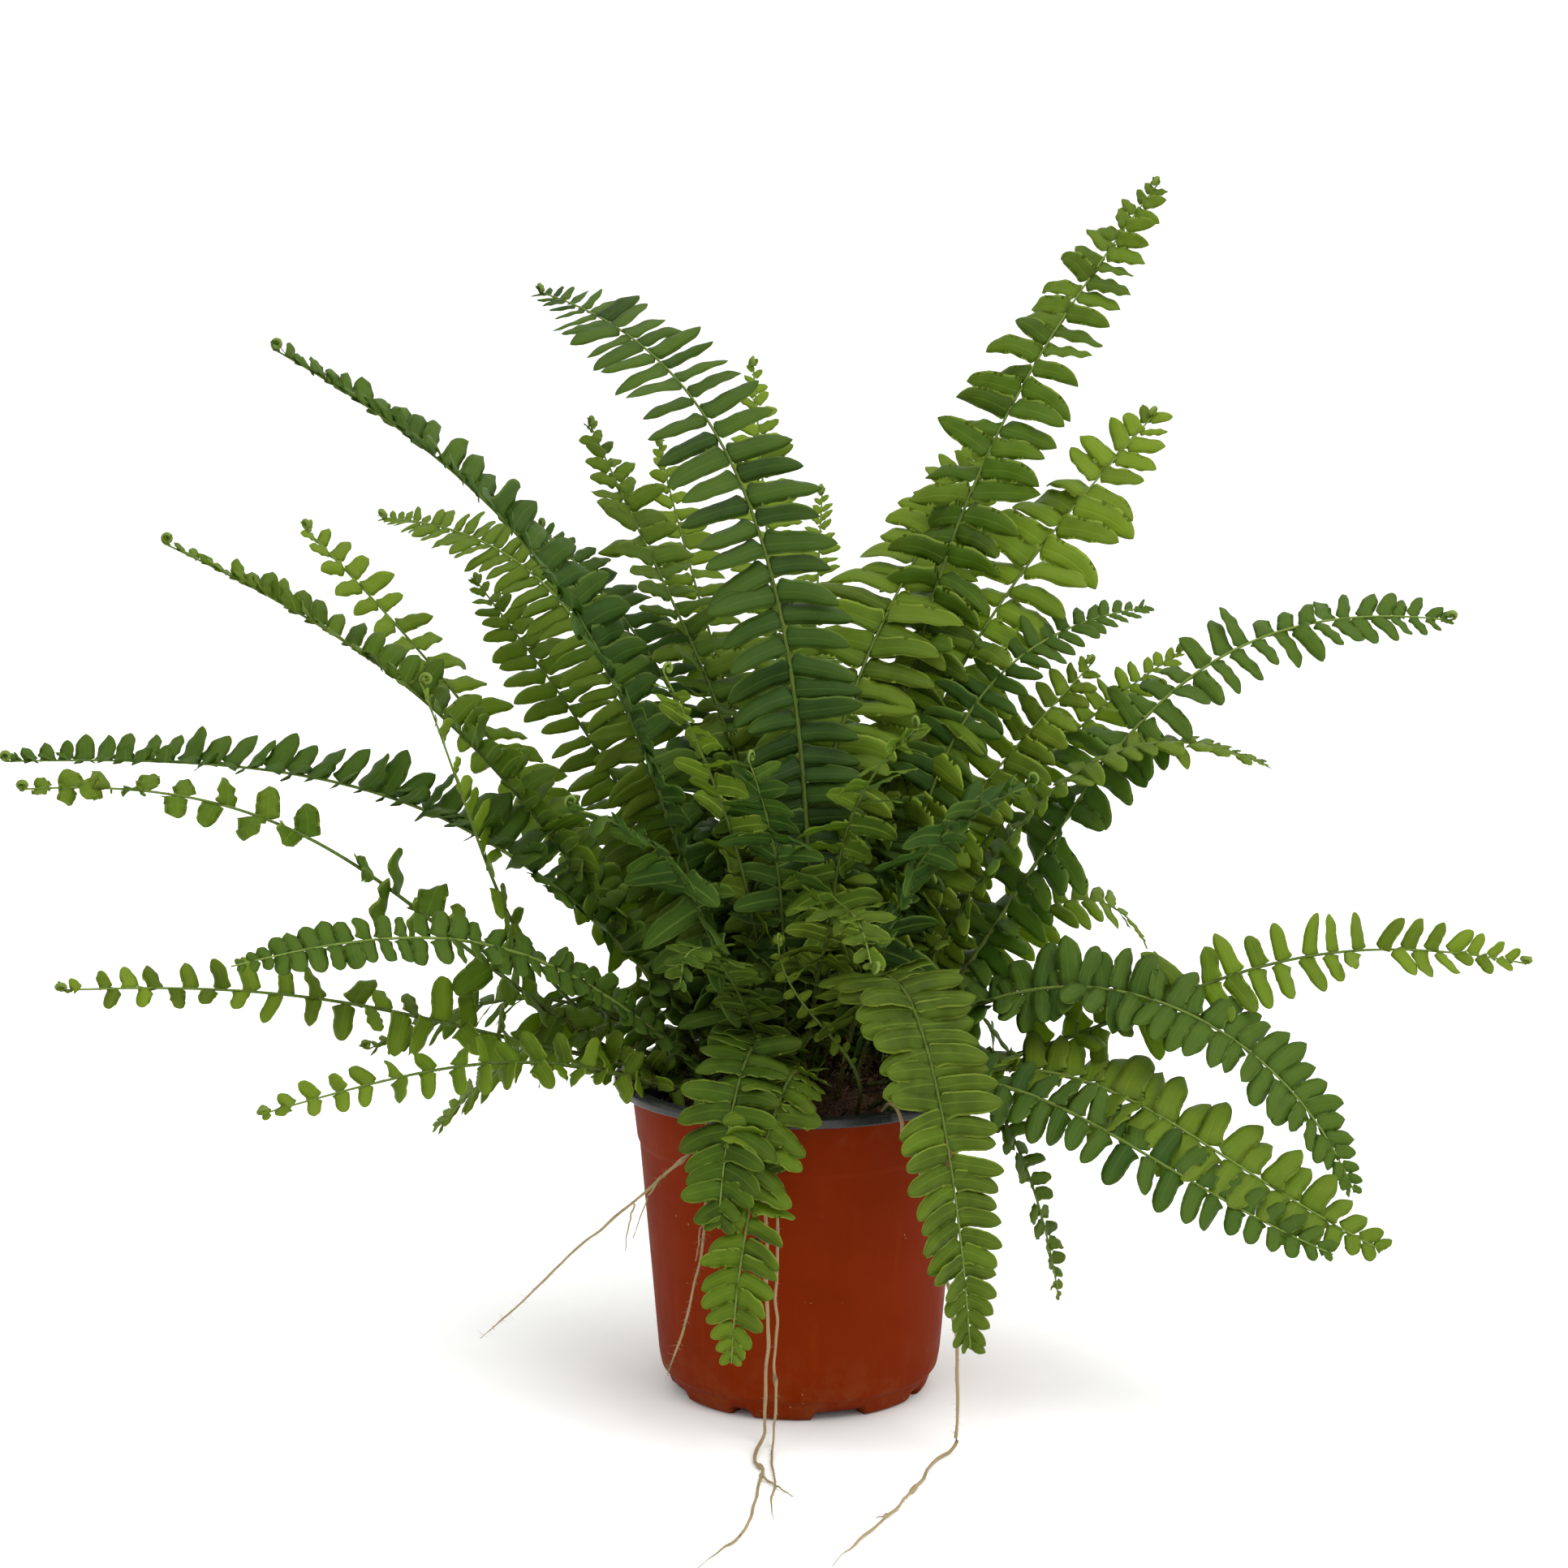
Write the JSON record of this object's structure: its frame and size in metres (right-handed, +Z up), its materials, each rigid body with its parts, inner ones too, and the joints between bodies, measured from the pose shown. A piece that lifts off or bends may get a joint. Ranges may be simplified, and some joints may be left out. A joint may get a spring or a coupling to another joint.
{
  "type": "potted fern",
  "caption": "Arching Boston fern in a round nursery pot: pinnate fronds from a crown in potting soil, with thin runners over the lip.",
  "frame": {"origin": "middle of the pot's underside, on the surface that it stands on", "axes": "+Z up along the pot's axis, +X to the right, +Y away from the front"},
  "size_m": [0.4848, 0.3383, 0.3804],
  "materials": {
    "pot_plastic": "satin terracotta outside, gloss black inside and on the lip",
    "soil": "rough, damp peat",
    "rhizome": "rough, scaly",
    "leaf_mid": "satin, slightly translucent",
    "leaf_dark": "satin, slightly translucent",
    "leaf_light": "satin, slightly translucent",
    "runner": "dry, hairy"
  },
  "bodies": {
    "root": {"crown": "rhizome", "frond_01": "leaf_mid", "frond_02": "leaf_light", "frond_03": "leaf_light", "frond_04": "leaf_dark", "frond_05": "leaf_dark", "frond_06": "leaf_mid", "frond_07": "leaf_light", "frond_08": "leaf_mid", "frond_09": "leaf_mid", "frond_10": "leaf_dark", "frond_11": "leaf_mid", "frond_12": "leaf_light", "frond_13": "leaf_light", "frond_14": "leaf_light", "frond_15": "leaf_dark", "frond_16": "leaf_light", "frond_17": "leaf_dark", "frond_18": "leaf_mid", "frond_19": "leaf_light", "frond_20": "leaf_light", "frond_21": "leaf_light", "frond_22": "leaf_dark", "frond_23": "leaf_mid", "frond_24": "leaf_dark", "frond_25": "leaf_mid", "frond_26": "leaf_dark", "frond_27": "leaf_mid", "frond_28": "leaf_light", "frond_29": "leaf_light", "frond_30": "leaf_dark", "frond_31": "leaf_light", "frond_32": "leaf_light", "frond_33": "leaf_mid", "frond_34": "leaf_light", "frond_35": "leaf_mid", "frond_36": "leaf_mid", "frond_37": "leaf_light", "frond_38": "leaf_light", "frond_39": "leaf_mid", "frond_40": "leaf_light", "frond_41": "leaf_light", "frond_42": "leaf_mid", "frond_43": "leaf_dark", "frond_44": "leaf_dark", "frond_45": "leaf_dark", "frond_46": "leaf_dark", "frond_47": "leaf_mid", "frond_48": "leaf_dark", "frond_49": "leaf_mid", "frond_50": "leaf_mid", "frond_51": "leaf_dark", "pot": "pot_plastic", "potting_soil": "soil", "runner_1": "runner", "runner_2": "runner", "runner_3": "runner", "runner_4": "runner", "runner_5": "runner"}
  },
  "joints": []
}
